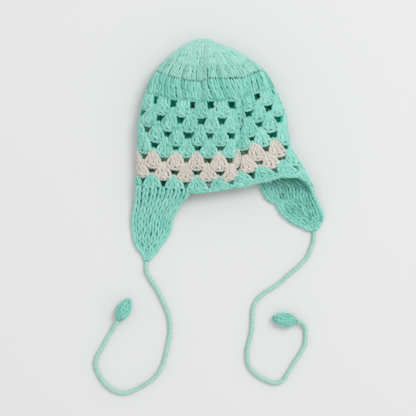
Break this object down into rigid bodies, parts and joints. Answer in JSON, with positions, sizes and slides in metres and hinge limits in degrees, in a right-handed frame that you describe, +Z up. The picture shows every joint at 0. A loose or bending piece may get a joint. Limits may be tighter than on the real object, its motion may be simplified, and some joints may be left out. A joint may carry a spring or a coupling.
{
  "type": "crocheted ear-flap cap",
  "caption": "Baby's crocheted wool cap laid flat, with see-through shell stitches, a pale band, ear flaps and cords that end in leaf buds.",
  "frame": {"origin": "on the surface that the cap lies on, at the centre of the box round the crown and both ear flaps, cords left out", "axes": "+Z up, away from the surface; +Y from the rim towards the crown; +X to the right seen from above"},
  "size_m": [0.2529, 0.3925, 0.0423],
  "materials": {
    "mint_yarn": "soft matt wool yarn, crocheted",
    "white_yarn": "soft matt wool yarn, crocheted"
  },
  "bodies": {
    "root": {"crown": "mint_yarn", "crown_round": "mint_yarn", "openwork": "mint_yarn", "white_band": "white_yarn", "seam_clusters": "mint_yarn", "rim_band": "mint_yarn", "ear_flap_left": "mint_yarn", "ear_flap_right": "mint_yarn", "tie_left": "mint_yarn", "tie_right": "mint_yarn", "bud_left": "mint_yarn", "bud_right": "mint_yarn"}
  },
  "joints": []
}
